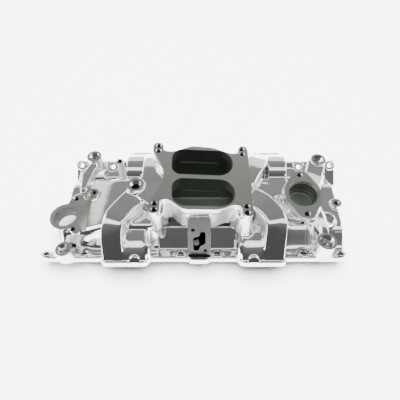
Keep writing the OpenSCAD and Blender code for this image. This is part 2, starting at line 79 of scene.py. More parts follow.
FLANGE_FRAMES = {
    side: Matrix.Translation((side * BANK_OFFSET / 2, 0, 0))
    @ Matrix.Diagonal((1, side, 1, 1))
    @ Matrix.Translation((0, VALLEY_HALF, 0))
    @ Matrix.Rotation(FLANGE_ANGLE, 4, "X")
    for side in (-1, 1)
}
CARB_FRAME = Matrix.Translation((0, 0, CARB_HEIGHT)) @ Matrix.Rotation(CARB_TILT, 4, "Y")
CHOKE_FACE_MID = Vector((-2.5, -87, 63))
CHOKE_FRAME = Matrix.Translation(CHOKE_FACE_MID) @ Matrix.Rotation(radians(61.4), 4, "X")


def port_x(n):
    """Where runner n meets its head flange, along the engine."""
    side = 1 if n % 2 else -1
    pair = 1 if n <= 4 else -1
    outer = 1 if n in (1, 2, 7, 8) else -1
    return side * BANK_OFFSET / 2 + pair * (BORE_SPACING + outer * PORT_PITCH / 2)


def on_flange(side, x, s, up):
    """A point by its place along the engine, up the slope of a head flange, and off its gasket face."""
    return FLANGE_FRAMES[side] @ Vector((x - side * BANK_OFFSET / 2, s, up))


print("ports at", [round(port_x(n), 1) for n in range(1, 9)])

# %% [markdown]
# ## Outlines
# A cast outline is a few corners, each with its own radius. This helper turns corners into arcs, as a
# draughtsman does, so no outline is a long list of points.

# %% Rounded outlines
def rounded(corners, steps=6):
    """The points of a closed outline of corners (x, y, radius)."""
    points = []
    for i, (x, y, r) in enumerate(corners):
        here = Vector((x, y))
        before = (Vector(corners[i - 1][:2]) - here).normalized()
        after = (Vector(corners[(i + 1) % len(corners)][:2]) - here).normalized()
        half = before.angle(after) / 2
        centre = here + (before + after).normalized() * r / sin(half)
        start = here + before * r / (sin(half) / cos(half)) - centre
        stop = here + after * r / (sin(half) / cos(half)) - centre
        a0 = atan2(start.y, start.x)
        turn = (atan2(stop.y, stop.x) - a0 + pi) % (2 * pi) - pi
        angles = [a0 + turn * k / steps for k in range(steps + 1)]
        points += [centre + r * Vector((cos(a), sin(a))) for a in angles]
    return points


def box_corners(x0, x1, y0, y1, r):
    return [(x0, y0, r), (x1, y0, r), (x1, y1, r), (x0, y1, r)]


# %% [markdown]
# ## Pattern tools
# Three tools draw every shape: a prism is one face extruded, a loft bridges rings of points, and a cone
# is turned. All of them add to one bmesh, and overlaps don't matter, because fusing removes what is inside.

# %% Prism, loft and turned shapes
def prism(bm, outline, low, high, place=Matrix(), taper=1.0, centre=(0, 0)):
    """Extrudes an outline from low to high; taper scales the far end about centre."""
    face = bm.faces.new([bm.verts.new((p[0], p[1], low)) for p in outline])
    swept = bmesh.ops.extrude_face_region(bm, geom=[face])["geom"]
    top = [g for g in swept if isinstance(g, bmesh.types.BMVert)]
    bmesh.ops.translate(bm, verts=top, vec=(0, 0, high - low))
    middle = Matrix.Translation((-centre[0], -centre[1], 0))
    bmesh.ops.scale(bm, verts=top, vec=(taper, taper, 1), space=middle)
    bmesh.ops.transform(bm, verts=top + list(face.verts), matrix=place)
    return top + list(face.verts)


def loft(bm, rings):
    """Bridges rings of equal length into a closed solid."""
    edge_loops = []
    for ring in rings:
        verts = [bm.verts.new(p) for p in ring]
        edge_loops.append([bm.edges.new((verts[i - 1], verts[i])) for i in range(len(verts))])
    for near, far in zip(edge_loops, edge_loops[1:]):
        bmesh.ops.bridge_loops(bm, edges=near + far)
    for end in (edge_loops[0], edge_loops[-1]):
        bmesh.ops.contextual_create(bm, geom=end)


def turned(bm, x, y, z0, z1, r0, r1, place=Matrix(), segments=48):
    """A cone or cylinder that stands at (x, y) from z0 to z1."""
    matrix = place @ Matrix.Translation((x, y, (z0 + z1) / 2))
    made = bmesh.ops.create_cone(bm, cap_ends=True, segments=segments, radius1=r0, radius2=r1,
                                 depth=z1 - z0, matrix=matrix)
    return made["verts"]


FINISHES = []
# The fourth finish is painted shade: near-black metal put where shade falls, on the choke pad, the choke
# window, the distributor bore and the small holes.
POLISHED, MILLED, CAST, PAINTED_SHADE = 0, 1, 2, 3


def finished(name, bm, finish=POLISHED):
    """Turns a bmesh drawn in millimetres into an object in metres, with every finish in its slots."""
    bmesh.ops.scale(bm, verts=bm.verts, vec=(MM, MM, MM))
    bmesh.ops.recalc_face_normals(bm, faces=bm.faces)
    for face in bm.faces:
        face.material_index = finish
    mesh = bpy.data.meshes.new(name)
    bm.to_mesh(mesh)
    bm.free()
    for material in FINISHES:
        mesh.materials.append(material)
    obj = bpy.data.objects.new(name, mesh)
    scene.collection.objects.link(obj)
    return obj


def settle(obj):
    """Applies an object's modifiers to its mesh."""
    depsgraph = bpy.context.evaluated_depsgraph_get()
    mesh = bpy.data.meshes.new_from_object(obj.evaluated_get(depsgraph), depsgraph=depsgraph)
    obj.modifiers.clear()
    obj.data = mesh


def boolean(target, tool, operation):
    """Cuts target by tool, or keeps what they share."""
    modifier = target.modifiers.new(operation.lower(), "BOOLEAN")
    modifier.operation = operation
    modifier.solver = "MANIFOLD"
    modifier.object = tool
    settle(target)


# %% [markdown]
# ## Finishes
# Four finishes cover the casting: the buffed outside, the faces left by the mill, the sandy inside that
# no wheel can reach, and a near-black painted shade for the choke pad and for narrow holes and bores,
# where shade falls. Buffed metal is never quite flat or evenly bright, so a slow wobble in the normal and
# faint wheel marks in the roughness keep its reflections alive.

# %% The grain that the finishes share
def grain_group():
    """Noise with its level mapped between Low and High, and the bare noise as a height."""
    group = bpy.data.node_groups.new("metal_grain", "ShaderNodeTree")
    group.interface.new_socket("Vector", in_out="INPUT", socket_type="NodeSocketVector")
    for name in ("Scale", "Detail", "Low", "High"):
        group.interface.new_socket(name, in_out="INPUT", socket_type="NodeSocketFloat")
    for name in ("Level", "Height"):
        group.interface.new_socket(name, in_out="OUTPUT", socket_type="NodeSocketFloat")
    given = group.nodes.new("NodeGroupInput")
    result = group.nodes.new("NodeGroupOutput")
    texture = group.nodes.new("ShaderNodeTexNoise")
    level = group.nodes.new("ShaderNodeMapRange")
    level.inputs["From Min"].default_value = 0.3
    level.inputs["From Max"].default_value = 0.7
    for name in ("Vector", "Scale", "Detail"):
        group.links.new(given.outputs[name], texture.inputs[name])
    group.links.new(texture.outputs["Fac"], level.inputs["Value"])
    group.links.new(given.outputs["Low"], level.inputs["To Min"])
    group.links.new(given.outputs["High"], level.inputs["To Max"])
    group.links.new(level.outputs["Result"], result.inputs["Level"])
    group.links.new(texture.outputs["Fac"], result.inputs["Height"])
    return group


GRAIN = grain_group()
print("made the node group", GRAIN.name)


# %% Materials
def metal(name, colour):
    material = bpy.data.materials.new(name)
    material.use_nodes = True
    shader = material.node_tree.nodes["Principled BSDF"]
    shader.inputs["Base Color"].default_value = (*colour, 1)
    shader.inputs["Metallic"].default_value = 1.0
    FINISHES.append(material)
    return material.node_tree, shader


def grain(tree, scale, detail, low=0.0, high=1.0, stretch=(1, 1, 1)):
    """Places the grain on object coordinates; scale is in waves per metre."""
    place = tree.nodes.new("ShaderNodeTexCoord")
    mapping = tree.nodes.new("ShaderNodeMapping")
    mapping.inputs["Scale"].default_value = stretch
    node = tree.nodes.new("ShaderNodeGroup")
    node.node_tree = GRAIN
    for name, value in (("Scale", scale), ("Detail", detail), ("Low", low), ("High", high)):
        node.inputs[name].default_value = value
    tree.links.new(place.outputs["Object"], mapping.inputs["Vector"])
    tree.links.new(mapping.outputs["Vector"], node.inputs["Vector"])
    return node.outputs


def bumped(tree, height, strength, distance, under=None):
    """A bump node, laid over another bump where there is one."""
    node = tree.nodes.new("ShaderNodeBump")
    node.inputs["Strength"].default_value = strength
    node.inputs["Distance"].default_value = distance
    tree.links.new(height, node.inputs["Height"])
    if under:
        tree.links.new(under, node.inputs["Normal"])
    return node.outputs["Normal"]


WALL_DULLNESS = 0.27


def duller_on_walls(tree, level, most):
    """Adds up to most to a roughness where the surface stands steep: a wheel reaches backs, not walls."""
    place = tree.nodes.new("ShaderNodeTexCoord")
    parts = tree.nodes.new("ShaderNodeSeparateXYZ")
    steep = tree.nodes.new("ShaderNodeMapRange")
    for name, value in (("From Min", 0.12), ("From Max", 0.55), ("To Min", most), ("To Max", 0.0)):
        steep.inputs[name].default_value = value
    total = tree.nodes.new("ShaderNodeMath")
    tree.links.new(place.outputs["Normal"], parts.inputs["Vector"])
    tree.links.new(parts.outputs["Z"], steep.inputs["Value"])
    tree.links.new(level, total.inputs[0])
    tree.links.new(steep.outputs["Result"], total.inputs[1])
    return total.outputs["Value"]


tree, shader = metal("polished_aluminium", (0.90, 0.905, 0.91))
buffing = grain(tree, 70, 3, 0.035, 0.085)["Level"]
tree.links.new(duller_on_walls(tree, buffing, WALL_DULLNESS), shader.inputs["Roughness"])
slow = bumped(tree, grain(tree, 38, 1)["Height"], 0.16, 0.002)
tree.links.new(bumped(tree, grain(tree, 240, 2)["Height"], 0.035, 0.001, slow), shader.inputs["Normal"])

tree, shader = metal("milled_aluminium", (0.43, 0.445, 0.415))
ALONG_THE_CUT = (0.05, 1, 1)
tree.links.new(grain(tree, 900, 2, 0.30, 0.42, ALONG_THE_CUT)["Level"], shader.inputs["Roughness"])
tool_marks = grain(tree, 1500, 1, stretch=(0.04, 1, 1))["Height"]
tree.links.new(bumped(tree, tool_marks, 0.05, 0.0003), shader.inputs["Normal"])

tree, shader = metal("cast_aluminium", (0.26, 0.285, 0.255))
tree.links.new(grain(tree, 350, 3, 0.45, 0.65)["Level"], shader.inputs["Roughness"])
tree.links.new(bumped(tree, grain(tree, 700, 3)["Height"], 0.25, 0.0006), shader.inputs["Normal"])

# Painted shade: near-black metal standing in for the shade in holes and bores and on the choke pad's face,
# not a colour of the metal.
tree, shader = metal("shadowed_aluminium", (0.085, 0.09, 0.085))
tree.links.new(grain(tree, 900, 2, 0.30, 0.42, ALONG_THE_CUT)["Level"], shader.inputs["Roughness"])
print("made finishes", [m.name for m in FINISHES])

# %% [markdown]
# ## Runners
# A runner leaves its port square to the head flange, bends over and flattens into the plenum. Its middle
# follows one Bezier curve, so four points place it, and its section is a rectangle with soft corners
# whose flat roof carries the long highlights.

# %% Duct sections along a curve
def bezier(p, t):
    return p[0] * (1 - t) ** 3 + p[1] * 3 * t * (1 - t) ** 2 + p[2] * 3 * t * t * (1 - t) + p[3] * t ** 3


def bezier_way(p, t):
    way = (p[1] - p[0]) * (1 - t) ** 2 + (p[2] - p[1]) * 2 * t * (1 - t) + (p[3] - p[2]) * t * t
    return way.normalized()


SADDLE_AT, SADDLE_LENGTH = 0.62, 0.5


def duct_rings(curve, start, end, corner, steps=16, t0=0.0, saddle=0.0):
    """Rings of half sizes (half width, half height) that change from start to end along curve.

    saddle is the depth of a dip in the duct's back, a little past its middle.
    """
    rings = []
    for i in range(steps + 1):
        t = t0 + (1 - t0) * i / steps
        middle = bezier(curve, max(t, 0)) + bezier_way(curve, 0) * min(t, 0) * 100
        way = bezier_way(curve, max(t, 0))
        side = Vector((0, 0, 1)).cross(way).normalized()
        tall = way.cross(side)
        blend = min(max(t, 0), 1)
        w = start[0] + (end[0] - start[0]) * blend
        h = start[1] + (end[1] - start[1]) * blend
        if abs(t - SADDLE_AT) < SADDLE_LENGTH / 2:
            middle = middle - Vector((0, 0, saddle * cos(pi * (t - SADDLE_AT) / SADDLE_LENGTH) ** 2))
        section = rounded(box_corners(-w, w, -h, h, corner), 3)
        rings.append([middle + side * q.x + tall * q.y for q in section])
    return rings


def way_out(x, y):
    return Vector((x, y, 0)).normalized()


UPPER_Z = 82.0
LOWER_Z = 40.0
RUNNER_ENDS = {
    1: ((port_x(1), 42, LOWER_Z), way_out(0, -1), 46, 24),
    2: ((80, -21.5, UPPER_Z), way_out(-0.77, 0.64), 70, 50),
    3: ((75, 7, UPPER_Z), way_out(-0.42, -0.91), 60, 44),
    4: ((port_x(4), 5, LOWER_Z), way_out(0, 1), 24, 50),
    5: ((-82, 5, UPPER_Z), way_out(0, -1), 60, 44),
    6: ((port_x(6), 5, LOWER_Z), way_out(0, 1), 24, 50),
    7: ((port_x(7), 42, LOWER_Z), way_out(0, -1), 46, 24),
    8: ((-100, -14, UPPER_Z - 5), way_out(0.68, 0.74), 68, 42),
}


def runner_curve(n, start_up=FLANGE_T):
    end, way, reach_out, reach_in = RUNNER_ENDS[n]
    side = 1 if n % 2 else -1
    start = on_flange(side, port_x(n), PORT_MID, start_up)
    up = FLANGE_FRAMES[side].to_3x3() @ Vector((0, 0, 1))
    return [start, start + up * reach_out, Vector(end) - way * reach_in, Vector(end)]


SADDLES = {2: 4.0, 8: 4.0}


def runner_outside(n):
    bm = bmesh.new()
    inner_end = (19.0, 17.0) if n in (2, 8) else (17.4, 16.4)
    loft(bm, duct_rings(runner_curve(n), (17.4, 28.2), inner_end, 2.5, 28, -0.06, SADDLES.get(n, 0.0)))
    return bm


outsides = {n: runner_outside(n) for n in range(1, 9)}
print("lofted", len(outsides), "runners")

# %% [markdown]
# ## Carburettor flange and plenum
# The plate's outline has an ear at each corner and a waist beside each ear. The plenum walls below are the
# same outline drawn down with draft, which is what makes the flutes and the tapered ear columns.

# %% Carburettor flange pattern
CARB_PLATE = 12.0
CARB_OUTLINE = [
    (81.5, -73, 8), (81.5, 73, 8), (65, 73, 7.9), (65, 54, 5), (50, 55, 10), (22, 66, 30), (-14, 69, 30),
    (-46, 54, 12), (-63.5, 54, 5), (-63.5, 73, 7.9), (-81, 73, 8), (-81, 54, 8), (-61, 12, 30),
    (-61, -14, 30), (-81, -54, 8), (-81, -73, 8), (-63.5, -73, 7.9), (-63.5, -47, 5), (-50, -46, 6),
    (-28, -64, 20),
    (28, -63, 30), (50, -53, 8), (64, -54, 5), (64, -73, 7.9)]
UPPER_PLAN = [(-121, 4, 14), (-110, -20, 12), (-88, -38, 10), (-70, -46, 6), (-40, -36, 6), (40, -36, 6),
              (66, -46, 6), (80, -36, 8), (90, -14, 8), (84, 8, 6), (70, 14, 4), (-64, 14, 4), (-104, 14, 10)]


def ear_column(bm, x, y, foot, half_length, half_width):
    """A drafted column from the pair of stud bosses of one ear down to its foot."""
    def oval(middle, length, width):
        angles = [pi * k / 12 for k in range(24)]
        return [middle + Vector((width * cos(a), length * sin(a), 0)) for a in angles]
    top = CARB_FRAME @ Vector((x, y, 1 - CARB_PLATE))
    middle = (top + foot) / 2
    loft(bm, [oval(top, 14.2, 9.3), oval(middle, (14.2 + half_length) / 2, (9.0 + half_width) / 2),
              oval(foot, half_length, half_width)])


def plenum_pattern():
    bm = bmesh.new()
    outline = rounded(CARB_OUTLINE)
    prism(bm, outline, -CARB_PLATE, MILL_ALLOWANCE, CARB_FRAME)
    far_wall = [Vector((0.90 * p.x, 0.965 * p.y)) for p in outline]
    prism(bm, far_wall, 1 - CARB_PLATE, -54, CARB_FRAME, taper=0.86)
    near_wall = [Vector((0.91 * p.x, (0.985 if p.y < 0 else 0.5) * p.y)) for p in outline]
    prism(bm, near_wall, 1 - CARB_PLATE, -54, CARB_FRAME)
    prism(bm, rounded(UPPER_PLAN), 62, 98)
    ear_column(bm, -71.45, -59.7, Vector((-68, -61, 36)), 8.5, 7.5)
    ear_column(bm, 71.45, -59.7, Vector((76, -72, 34)), 13, 17)
    ear_column(bm, -71.45, 59.7, Vector((-68, 56, 60)), 9, 8)
    ear_column(bm, 71.45, 59.7, Vector((70, 56, 60)), 9, 8)
    prism(bm, rounded(box_corners(-64, 70, 5, 64, 12)), 23, 104, taper=0.97, centre=(0, 30))
    prism(bm, rounded(box_corners(-64, 70, -10, 10, 3)), 23, 70)
    for x0, x1 in ((-137, -60), (60, 159)):
        prism(bm, rounded(box_corners(x0, x1, 4, 43, 6)), 22, 58)
    return bm


plenum = plenum_pattern()
print("plenum pattern has", len(plenum.faces), "faces")

# %% [markdown]
# ## Head flanges
# Each flange is one long plate on a 35 degree slope, higher at its two port pairs and at the heat port.
# Its outer edge leans in towards the gasket face, so a loft between two outlines draws it.

# %% Head flange patterns
FLANGE_HALF = 253.0
FLANGE_H = 50.0
PORT_PAD_H = 66.0
FLANGE_UNDERCUT = 4.0
HEAT_X = 8.35
HEAD_BOLTS = {
    side: [(x, s) for x, s in ((-243, 41), (-182, 38), (-38.3 if side > 0 else -21.6, 38),
                               (21.6 if side > 0 else 38.3, 38), (182, 38), (243, 41))]
    for side in (-1, 1)
}


def flange_outline(side):
    """The flange's outline; the banks are staggered, so the hump at its heat port is too."""
    half, p, h = FLANGE_HALF, BORE_SPACING, -side * HEAT_X
    ports = [(p + 38, FLANGE_H, 5), (p + 38, PORT_PAD_H, 9), (p - 38, PORT_PAD_H, 9), (p - 38, FLANGE_H, 5)]
    hump = [(h + 18, FLANGE_H, 5), (h + 14, 57, 5), (h - 14, 57, 5), (h - 18, FLANGE_H, 5)]
    mirrored = [(-x, y, r) for x, y, r in reversed(ports)]
    lower = [(-half, 0, 6), (half, 0, 6), (half, FLANGE_H, 9)]
    return rounded([*lower, *ports, *hump, *mirrored, (-half, FLANGE_H, 9)])


def flange_pattern(side):
    bm = bmesh.new()
    place = FLANGE_FRAMES[side]
    loft(bm, [[place @ Vector((p.x, p.y - (undercut if p.y > 30 else 0), z)) for p in flange_outline(side)]
              for z, undercut in ((-MILL_ALLOWANCE, FLANGE_UNDERCUT), (FLANGE_T, 0.0))])
    for x, s in HEAD_BOLTS[side]:
        if abs(x) < 100:
            square = rounded(box_corners(x - 8.5, x + 8.5, s - 9, s + 9, 3))
            prism(bm, square, FLANGE_T - 2, FLANGE_T + 5, place)
        else:
            turned(bm, x, s, FLANGE_T - 2, FLANGE_T + 5, 9.5, 9.0, place)
    return bm


flanges = {side: flange_pattern(side) for side in (-1, 1)}
print("flange patterns", [len(bm.faces) for bm in flanges.values()])

# %% [markdown]
# ## Decks and end rails
# Between the runners and each end a thin deck covers the valley. It isn't flat: it swells towards the
# runners and falls away to the head flanges. A grid whose height follows a formula gives that one smooth
# sheet, and extruding it down gives it a wall.

# %% Deck patterns
DECK_T = 5.0
FLANGE_EDGE = 88.0


def smooth_step(low, high, value):
    t = min(max((value - low) / (high - low), 0), 1)
    return t * t * (3 - 2 * t)


def rear_deck_height(x, y):
    swell = 20 * smooth_step(-212, -140, x)
    fall = smooth_step(28, 72, y) if y > 0 else smooth_step(62, 84, -y)
    return DECK_TOP + swell - fall * (DECK_TOP + swell - 27)


def front_deck_height(x, y):
    swell = 12 * (1 - smooth_step(118, 160, x))
    fall = smooth_step(30, 74, y) if y > 0 else smooth_step(46, FLANGE_EDGE, -y)
    return DECK_TOP - 3 + swell - fall * (DECK_TOP + swell - 30)


def deck_pattern(x0, x1, height):
    bm = bmesh.new()
    middle = Matrix.Translation(((x0 + x1) / 2, 0, 0))
    size = Matrix.Diagonal(((x1 - x0) / 2, FLANGE_EDGE + 2, 1, 1))
    bmesh.ops.create_grid(bm, x_segments=24, y_segments=36, size=1, matrix=middle @ size)
    for v in bm.verts:
        v.co.z = height(v.co.x, v.co.y)
    swept = bmesh.ops.extrude_face_region(bm, geom=bm.faces[:], use_keep_orig=True)["geom"]
    lower = [g for g in swept if isinstance(g, bmesh.types.BMVert)]
    bmesh.ops.translate(bm, verts=lower, vec=(0, 0, -DECK_T))
    return bm


def rail_pattern(inner, outer, foot, height):
    """An end rail: the deck's own cross section carried down to the block, with draft on its outer face."""
    bm = bmesh.new()
    ys = [-88 + 8 * i for i in range(23)]
    top = [(y, height(inner, y)) for y in ys][::-1]
    def section(x, low_x):
        foot_corners = [Vector((low_x, y, -MILL_ALLOWANCE)) for y in (-VALLEY_HALF, VALLEY_HALF)]
        return foot_corners + [Vector((x, y, z)) for y, z in top]
    loft(bm, [section(inner, inner), section(outer, foot)])
    return bm


deck_parts = [
    deck_pattern(-231, -70, rear_deck_height), deck_pattern(70, 240, front_deck_height),
    rail_pattern(-222, -231, -242, rear_deck_height), rail_pattern(229, 242, 241, front_deck_height)]
print("deck patterns", [len(bm.faces) for bm in deck_parts])

# %% [markdown]
# ## Ends of the manifold
# The front carries the thermostat housing and the water passages that reach it from both heads. The rear
# carries the distributor tower. Both are turned and lofted shapes that stand out of the decks.

# %% Thermostat, distributor and coolant patterns
THERMO_X = 177.5
THERMO_Z = 70.0
DIST = (-231.0, -35.0)
DIST_Z = 52.0


def end_pattern():
    bm = bmesh.new()
    turned(bm, THERMO_X, 0, 36, THERMO_Z + MILL_ALLOWANCE, 34, 32)
    diamond = [(THERMO_X + x, y, r) for x, y, r in (
        (-31, -14, 6), (-10, -50, 9), (10, -50, 9), (31, -14, 6),
        (31, 14, 6), (12, 50, 9), (-10, 50, 9), (-31, 14, 6))]
    prism(bm, rounded(diamond), 58, THERMO_Z + MILL_ALLOWANCE)
    for side, reach in ((1, 0.62), (-1, 0.42)):
        foot = on_flange(side, 211 + side * BANK_OFFSET / 2, 22, 0)
        up = FLANGE_FRAMES[side].to_3x3() @ Vector((0, 0, 1))
        way = way_out(reach, side * 0.86)
        head = Vector((THERMO_X, 0, 55)) + way * 20
        loft(bm, duct_rings([foot, foot + up * 30, head + way * 34, head], (16, 13), (16, 13), 6))
    turned(bm, *DIST, -MILL_ALLOWANCE, DIST_Z + MILL_ALLOWANCE, 28, 25.8)
    pad = [(-222, -58, 6), (-206, -72, 6), (-198, -60, 8), (-200, -6, 8),
           (-214, 14, 6), (-228, 2, 8), (-236, -30, 4)]
    prism(bm, rounded(pad), 40, DIST_Z + MILL_ALLOWANCE)
    flat_arm = [(182, 24, 4), (206, 12, 4), (232, 70, 8), (226, 90, 8), (204, 88, 6)]
    prism(bm, rounded(flat_arm), 34, 61)
    for x0, x1 in ((181, 186), (193, 204)):
        ridge = [Vector((x0, -46, 55)), Vector((x0 + 2, -66, 54)),
                 Vector((x1 - 2, -80, 44)), Vector((x1, -104, 24))]
        loft(bm, duct_rings(ridge, (3.2, 6), (3.2, 6), 2.4))
    return bm


ends = end_pattern()
print("end patterns", len(ends.faces))

# %% [markdown]
# ## Bosses, columns and the choke pad
# Everything that takes a fitting or a screw stands on a boss. Bosses are turned with draft, wider at the
# foot, so the pattern would pull out of the sand. Where a mount gives a boss's place, the boss is put there.

# %% Boss patterns
def mount_at(name):
    return [v / MM for v in mounts[name]["pos_m"]]


def boss_pattern():
    bm = bmesh.new()
    for name, z0, z1, r0, r1 in (
            ("vacuum_port", 88, 103, 16.5, 13.5), ("rear_driver_water_port", 16, 62, 17.5, 13.5),
            ("rear_passenger_water_port", 16, 52, 17.5, 13.0), ("temperature_sender_port", 22, 64, 18, 13.5),
            ("heater_outlet_port", 22, 65, 19, 15.5), ("throttle_bracket_hole", 26, 79, 9.5, 6.0),
            ("coil_bracket_hole", 40, 62, 13, 8.5), ("front_bracket_hole", 36, 54, 12, 8.5)):
        x, y, _ = mount_at(name)
        turned(bm, x, y, z0, z1 + MILL_ALLOWANCE, r0, r1)
    turned(bm, 217, -39, 38, 53, 16, 12.5)
    rib = [(-214, 18, 3), (-206, 18, 3), (-198, 56, 3), (-192, 78, 3), (-206, 80, 3), (-217, 56, 3)]
    prism(bm, rounded(rib), 38, 58)
    for side, x in ((-1, -105.9), (-1, 84.8), (1, 105.9), (1, -84.8)):
        arch = [Vector((8.5 * cos(a), FLANGE_T + 8.5 * sin(a))) for a in (pi * k / 12 for k in range(13))]
        loft(bm, [[on_flange(side, x + q.x, s, q.y + 1) for q in arch] for s in (44, PORT_PAD_H - 1)])
    for side, x in ((-1, -88), (-1, 66), (1, 88), (1, -66)):
        turned(bm, x - side * BANK_OFFSET / 2, 50, 2, 30, 8.0, 6.5, FLANGE_FRAMES[side], segments=24)
        turned(bm, x - side * BANK_OFFSET / 2, 50, 30, 38, 6.5, 3.0, FLANGE_FRAMES[side], segments=24)
    return bm


def pillar_pattern():
    """The choke pad, with its drafted pillar and the well behind it."""
    bm = bmesh.new()
    loft(bm, [[CHOKE_FRAME @ Vector((x, y, z)) for x, y in box_xy] for z, box_xy in (
        (MILL_ALLOWANCE, [(-17.5, -40), (17.5, -40), (17.5, 40), (-17.5, 40)]),
        (-46, [(-17.5, -44), (17.5, -44), (17.5, 42), (-17.5, 42)]))])
    return bm


def floor_pattern():
    """The inclined floor between the inner runners, from each head flange up to the plenum."""
    bm = bmesh.new()
    for side in (-1, 1):
        low = on_flange(side, 0, 22, FLANGE_T)
        section = [(low.y, low.z), (side * 50, 46), (side * 50, 22), (low.y, low.z - 14)]
        loft(bm, [[Vector((x, y, z)) for y, z in section] for x in (-92, 92)])
    return bm


bosses, pillar, floors = boss_pattern(), pillar_pattern(), floor_pattern()
print("boss, pillar and floor patterns", [len(bm.faces) for bm in (bosses, pillar, floors)])

# %% [markdown]
# ## Fusing the skin
# All the patterns become one mesh. A voxel remesh keeps only its outside, and smoothing then rounds every
# inside corner into the fillet that molten metal leaves and every outside corner as the buffing wheel does.

# %% The fused skin
def joined(name, parts, finish):
    whole = bmesh.new()
    for bm in parts:
        bmesh.ops.recalc_face_normals(bm, faces=bm.faces)
        mesh = bpy.data.meshes.new("part")
        bm.to_mesh(mesh)
        whole.from_mesh(mesh)
        bpy.data.meshes.remove(mesh)
        bm.free()
    return finished(name, whole, finish)


def fused(obj, voxel, smoothing):
    remesh = obj.modifiers.new("fuse", "REMESH")
    remesh.mode = "VOXEL"
    remesh.voxel_size = voxel * MM
    soften = obj.modifiers.new("soften", "SMOOTH")
    soften.factor = 0.5
    soften.iterations = smoothing
    settle(obj)


patterns = [*outsides.values(), plenum, *flanges.values(), *deck_parts, ends, bosses, pillar, floors]
skin = joined("casting", patterns, POLISHED)
fused(skin, VOXEL, SMOOTHING)
print("the fused skin has", len(skin.data.polygons), "faces")

# %% [markdown]
# ## Sand cores
# The runners and the plenum are hollow because cores of sand fill them while the metal is poured. The cores
# are drawn and fused the same way, and then cut out of the skin, which leaves their dull finish inside.

# %% Cores
def core_patterns():
    parts = []
    for n in range(1, 9):
        bm = bmesh.new()
        loft(bm, duct_rings(runner_curve(n), (14.6, 25.0), (14.6, 12.8), 5.0, 24, -0.3, SADDLES.get(n, 0.0)))
        parts.append(bm)
    bm = bmesh.new()
    prism(bm, rounded([(-108, -4, 3), (-97, -24, 3), (-80, -36, 3), (-66, -41, 3), (-46, -39, 3),
                       (-28, -56, 6), (28, -56, 6), (47, -46, 3), (62, -42, 3),
                       (76, -30, 3), (82, -14, 3), (80, -4, 3)]), 64, 93)
    for x0, x1 in ((-98, -67), (62, 84)):
        prism(bm, rounded(box_corners(x0, x1, -12, 10, 4)), 64, 92)
    prism(bm, rounded(box_corners(-58, 60, 9, 58, 18)), 27, 98)
    for x0, x1 in ((-132, -40), (40, 153)):
        prism(bm, rounded(box_corners(x0, x1, 10, 37, 4)), 27, 52)
    prism(bm, rounded(box_corners(THERMO_X - 22, THERMO_X + 22, -22, 22, 21)), 44, 66)
    parts.append(bm)
    return parts


def refinish(obj, finish):
    """Remeshing forgets finishes, so every face is given one again."""
    obj.data.polygons.foreach_set("material_index", [finish] * len(obj.data.polygons))


cores = joined("cores", core_patterns(), CAST)
fused(cores, VOXEL, 4)
refinish(cores, CAST)
boolean(skin, cores, "DIFFERENCE")
bpy.data.objects.remove(cores)
print("after coring the skin has", len(skin.data.polygons), "faces")

# %% [markdown]
# ## Milling
# The mill leaves crisp flat faces where gaskets seal. Blocks that don't touch each other share one cutter
# mesh, so one boolean makes several faces, and each cutter's finish stays on the face that it leaves.

# %% Milled faces
FAR_BARREL = [(-48, 5, 16), (54, 5, 26), (54, 59, 26), (-48, 60, 20)]
NEAR_BARREL = [(-46, -57, 22), (54, -56, 25), (54, -3, 25), (-46, -3, 18)]
WINDOW = [(-9, -20, 3), (-1, -20, 3), (2, -12, 3), (10, -7, 3),
          (10, 15, 4), (2, 15, 3), (0, 7, 3), (-10, 4, 4)]


def block(bm, x0, x1, y0, y1, z0, z1, place=Matrix()):
    prism(bm, [(x0, y0), (x1, y0), (x1, y1), (x0, y1)], z0, z1, place)


def cut(target, finish, *draws):
    """Cuts target by the solids that the drawing functions add to one bmesh."""
    bm = bmesh.new()
    for draw in draws:
        draw(bm)
    tool = finished("cutter", bm, finish)
    boolean(target, tool, "DIFFERENCE")
    bpy.data.objects.remove(tool)


def spot_faces(bm):
    for side, place in FLANGE_FRAMES.items():
        for x, s in HEAD_BOLTS[side]:
            turned(bm, x, s, FLANGE_T + 2.5, FLANGE_T + 12, 9.4, 9.4, place)


def boss_tops(bm):
    for name, top, r in (
            ("vacuum_port", 103, 18), ("rear_driver_water_port", 62, 18),
            ("rear_passenger_water_port", 52, 16), ("temperature_sender_port", 64, 18),
            ("heater_outlet_port", 65, 20), ("throttle_bracket_hole", 79, 12),
            ("coil_bracket_hole", 62, 14), ("front_bracket_hole", 54, 13)):
        x, y, _ = mount_at(name)
        turned(bm, x, y, top, top + 12, r, r)


cut(skin, MILLED,
    lambda bm: block(bm, -110, 110, -95, 95, 0, 30, CARB_FRAME),
    lambda bm: block(bm, 140, 211, -52, 52, THERMO_Z, THERMO_Z + 20),
    lambda bm: block(bm, -262, -190, -76, 19, DIST_Z, DIST_Z + 12),
    lambda bm: turned(bm, 217, -39, 51.5, 60, 8, 8),
    spot_faces, boss_tops)
# The choke pad's milled face gets painted shade: near-black instead of milled grey, because it faces away
# from the bright studio.
cut(skin, PAINTED_SHADE, lambda bm: block(bm, -24, 24, -31, 42, 0, 40, CHOKE_FRAME))
cut(skin, MILLED, *[lambda bm, place=place: block(bm, -275, 275, -20, 90, -30, 0, place)
                    for place in FLANGE_FRAMES.values()])
cut(skin, MILLED, lambda bm: block(bm, -300, 300, -150, 150, -20, 0))
print("milled; the skin has", len(skin.data.polygons), "faces")

# %% [markdown]
# ## Openings
# Barrels, ports, the choke window and the heat and water passages are openings into the cored inside.

